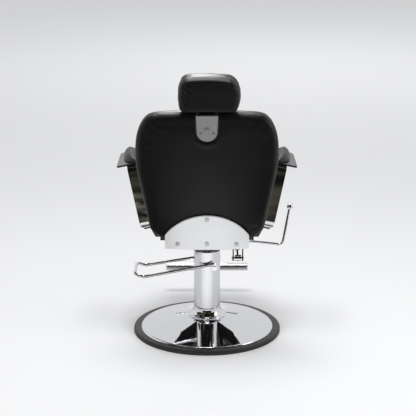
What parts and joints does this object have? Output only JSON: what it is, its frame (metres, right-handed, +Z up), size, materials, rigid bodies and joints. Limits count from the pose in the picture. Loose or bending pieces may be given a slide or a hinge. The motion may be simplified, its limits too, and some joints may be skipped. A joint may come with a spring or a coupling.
{
  "type": "hydraulic barber chair",
  "caption": "Padded reclining chair on a chromed hydraulic column and round base, with a pump pedal, T-bar footrest, C-shaped arms and a height-adjustable headrest.",
  "frame": {"origin": "on the floor under the middle of the column, at the centre of the round base", "axes": "+Z up along the column, -Y the way the sitter faces, +X the sitter's left"},
  "size_m": [0.711, 0.8338, 1.1063],
  "materials": {
    "chrome": "mirror chrome plate on steel",
    "satin_steel": "satin painted silver sheet",
    "satin_aluminium": "satin aluminium",
    "cast_grey": "grey lacquered casting",
    "cast_iron": "oiled casting",
    "black_steel": "black powder coat",
    "zinc_steel": "bright zinc",
    "bronze": "turned bronze",
    "black_vinyl": "black satin vinyl over foam",
    "rubber": "moulded rubber",
    "plywood": "black-stained plywood"
  },
  "bodies": {
    "base": {"base_ring": "rubber", "base_cover": "chrome", "base_plate": "black_steel", "pump_body": "cast_iron", "pump_bolts": "zinc_steel", "foot_collar": "chrome", "column_cover": "chrome", "pump_head": "chrome", "ram_bush": "bronze", "ram_gland": "bronze", "plunger_spring": "zinc_steel"},
    "ram": {"ram_rod": "chrome", "ram_piston": "zinc_steel", "piston_seal": "rubber", "thrust_race": "zinc_steel", "spindle_nut": "zinc_steel"},
    "pedal": {"pedal_shaft": "zinc_steel", "pedal_fork": "black_steel", "pedal_loop": "chrome", "pedal_studs": "chrome"},
    "plunger": {"pump_plunger": "zinc_steel"},
    "seat": {"seat_mount": "black_steel", "seat_bolts": "zinc_steel", "seat_frame": "black_steel", "arm_cross_bars": "black_steel", "arm_strip_left": "chrome", "arm_strip_right": "chrome", "arm_tray_left": "satin_aluminium", "arm_tray_right": "satin_aluminium", "arm_pad_left": "black_vinyl", "arm_pad_right": "black_vinyl", "arm_screws": "zinc_steel", "seat_board": "plywood", "seat_cushion": "black_vinyl", "footrest_post": "chrome", "footrest_bar": "chrome", "footrest_caps": "chrome", "hinge_pins": "zinc_steel", "strut_bracket": "black_steel", "strut_front_pin": "zinc_steel", "lever_bush": "black_steel"},
    "back": {"hinge_bars": "black_steel", "hinge_bolts": "zinc_steel", "strut_clevis": "black_steel", "strut_rear_pin": "zinc_steel", "back_board": "plywood", "back_cushion": "black_vinyl", "back_panel": "black_vinyl", "back_plate": "satin_steel", "plate_screws": "zinc_steel", "headrest_guide": "black_steel", "lock_plate": "cast_grey", "lock_bolts": "zinc_steel"},
    "headrest": {"headrest_posts": "chrome", "headrest_board": "plywood", "headrest_cushion": "black_vinyl"},
    "strut_rod": {"strut_rod": "chrome"},
    "strut_cylinder": {"strut_cylinder": "black_steel"},
    "lever": {"recline_lever": "chrome", "lever_knob": "chrome"}
  },
  "joints": [
    {"name": "lift", "type": "slide", "parent": "base", "child": "ram", "axis": [0, 0, 1], "range_m": [0, 0.15]},
    {"name": "swivel", "type": "hinge", "parent": "ram", "child": "seat", "pos_m": [0, 0, 0.37], "axis": [0, 0, 1], "continuous": true},
    {"name": "recline", "type": "hinge", "parent": "seat", "child": "back", "pos_m": [0, 0.185, 0.428], "axis": [-1, 0, 0], "range_deg": [0, 45]},
    {"name": "headrest_height", "type": "slide", "parent": "back", "child": "headrest", "axis": [0, 0.2079, 0.9781], "range_m": [0, 0.09]},
    {"name": "pedal_press", "type": "hinge", "parent": "base", "child": "pedal", "pos_m": [-0.03, 0, 0.285], "axis": [0, 1, 0], "range_deg": [0, 22], "stiffness_Nm_per_rad": 12, "springref_deg": -22.92},
    {"name": "plunger_stroke", "type": "slide", "parent": "base", "child": "plunger", "axis": [0, 0, -1], "range_m": [0, 0.0245], "deforming": ["plunger_spring"]},
    {"name": "strut_pivot", "type": "hinge", "parent": "back", "child": "strut_rod", "pos_m": [-0.1205, 0.198, 0.3674], "axis": [1, 0, 0], "range_deg": [0, 50]},
    {"name": "strut_stroke", "type": "slide", "parent": "strut_rod", "child": "strut_cylinder", "axis": [0, 0.9999, -0.0125], "range_m": [0, 0.05]},
    {"name": "recline_lever", "type": "hinge", "parent": "seat", "child": "lever", "pos_m": [-0.12, 0.15, 0.421], "axis": [-1, 0, 0], "range_deg": [0, 20], "stiffness_Nm_per_rad": 2, "springref_deg": -20.05}
  ],
  "couplings": [
    {"joint": "plunger_stroke", "follows": "pedal_press", "m_per_rad": 0.0625},
    {"joint": "strut_pivot", "follows": "recline", "ratio": 1.019},
    {"joint": "strut_stroke", "follows": "recline", "m_per_rad": 0.060898}
  ]
}
